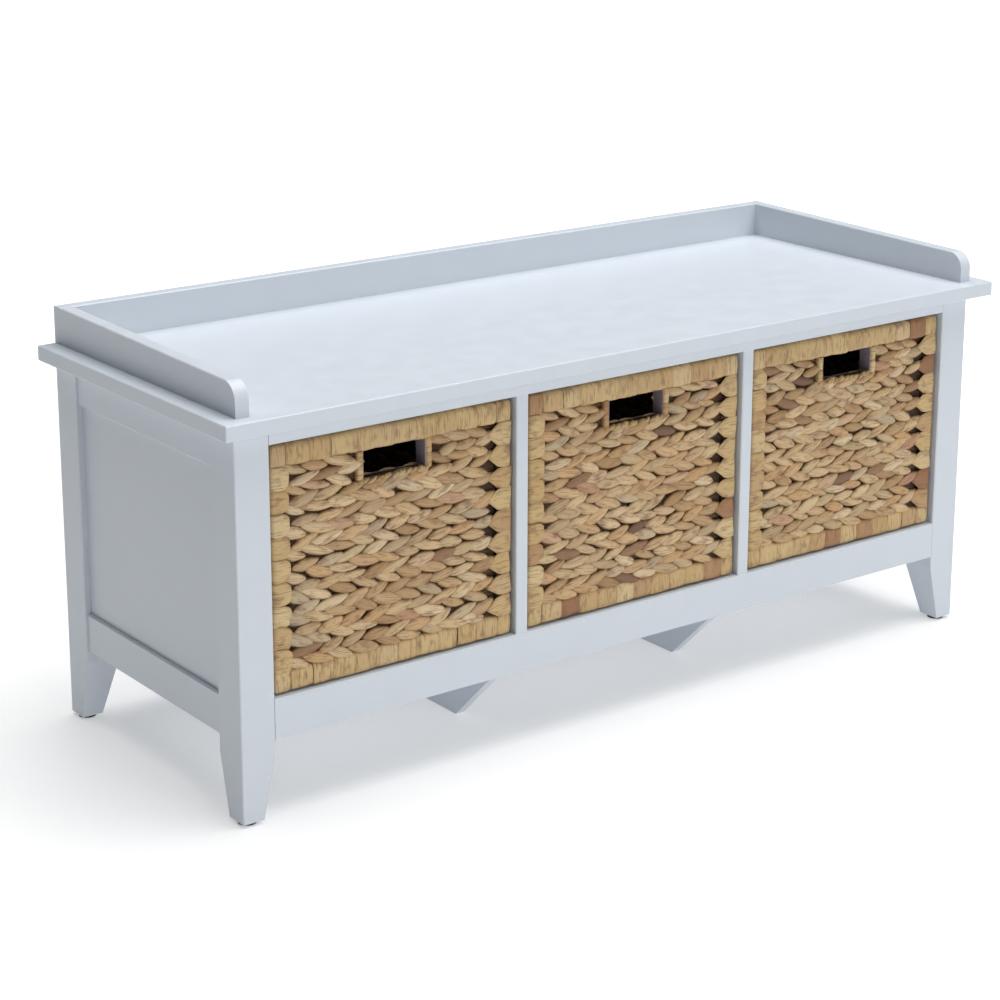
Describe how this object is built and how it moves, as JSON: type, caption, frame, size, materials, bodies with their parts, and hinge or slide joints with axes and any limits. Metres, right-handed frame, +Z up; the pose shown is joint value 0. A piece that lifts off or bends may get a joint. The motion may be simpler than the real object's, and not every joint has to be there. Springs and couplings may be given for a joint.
{
  "type": "entryway storage bench",
  "caption": "White painted storage bench with a low gallery round the seat, tapered legs and woven pull-out baskets in open bays.",
  "frame": {"origin": "on the floor, under the middle of the seat's outline", "axes": "+X along the bench to the right as seen from the front, +Y to the back, +Z up"},
  "size_m": [1.092, 0.406, 0.483],
  "materials": {
    "white_paint": "satin white lacquer over MDF and solid wood",
    "glide_plastic": "moulded nylon",
    "beech_dowel": "fluted beech, bare",
    "zinc_screw": "zinc plated steel",
    "frame_steel": "black painted mild steel",
    "hyacinth_wrap": "dried water hyacinth stalks wrapped tightly round the frame",
    "hyacinth_plait": "rows of plaited dried water hyacinth"
  },
  "bodies": {
    "bench": {"seat_top": "white_paint", "gallery_back": "white_paint", "gallery_left": "white_paint", "gallery_right": "white_paint", "front_left_leg": "white_paint", "front_right_leg": "white_paint", "rear_left_leg": "white_paint", "rear_right_leg": "white_paint", "left_upper_side_rail": "white_paint", "right_upper_side_rail": "white_paint", "left_lower_side_rail": "white_paint", "right_lower_side_rail": "white_paint", "left_side_panel": "white_paint", "right_side_panel": "white_paint", "front_top_rail": "white_paint", "front_bottom_rail": "white_paint", "rear_top_rail": "white_paint", "rear_bottom_rail": "white_paint", "back_panel": "white_paint", "bottom_panel": "white_paint", "left_divider": "white_paint", "right_divider": "white_paint", "left_centre_foot": "white_paint", "right_centre_foot": "white_paint", "floor_glides": "glide_plastic", "rail_dowels": "beech_dowel", "seat_screws": "zinc_screw", "seat_dowels": "beech_dowel", "gallery_screws": "zinc_screw", "gallery_dowels": "beech_dowel", "divider_dowels": "beech_dowel"},
    "left_basket": {"left_basket_top_rim": "hyacinth_wrap", "left_basket_bottom_rim": "hyacinth_wrap", "left_basket_corner_posts": "hyacinth_wrap", "left_basket_front_wall": "hyacinth_plait", "left_basket_back_wall": "hyacinth_plait", "left_basket_side_walls": "hyacinth_plait", "left_basket_floor": "hyacinth_plait", "left_basket_steel_frame": "frame_steel"},
    "middle_basket": {"middle_basket_top_rim": "hyacinth_wrap", "middle_basket_bottom_rim": "hyacinth_wrap", "middle_basket_corner_posts": "hyacinth_wrap", "middle_basket_front_wall": "hyacinth_plait", "middle_basket_back_wall": "hyacinth_plait", "middle_basket_side_walls": "hyacinth_plait", "middle_basket_floor": "hyacinth_plait", "middle_basket_steel_frame": "frame_steel"},
    "right_basket": {"right_basket_top_rim": "hyacinth_wrap", "right_basket_bottom_rim": "hyacinth_wrap", "right_basket_corner_posts": "hyacinth_wrap", "right_basket_front_wall": "hyacinth_plait", "right_basket_back_wall": "hyacinth_plait", "right_basket_side_walls": "hyacinth_plait", "right_basket_floor": "hyacinth_plait", "right_basket_steel_frame": "frame_steel"}
  },
  "joints": [
    {"name": "left_basket_slide", "type": "slide", "parent": "bench", "child": "left_basket", "axis": [0, -1, 0], "range_m": [0, 0.3]},
    {"name": "middle_basket_slide", "type": "slide", "parent": "bench", "child": "middle_basket", "axis": [0, -1, 0], "range_m": [0, 0.3]},
    {"name": "right_basket_slide", "type": "slide", "parent": "bench", "child": "right_basket", "axis": [0, -1, 0], "range_m": [0, 0.3]}
  ]
}
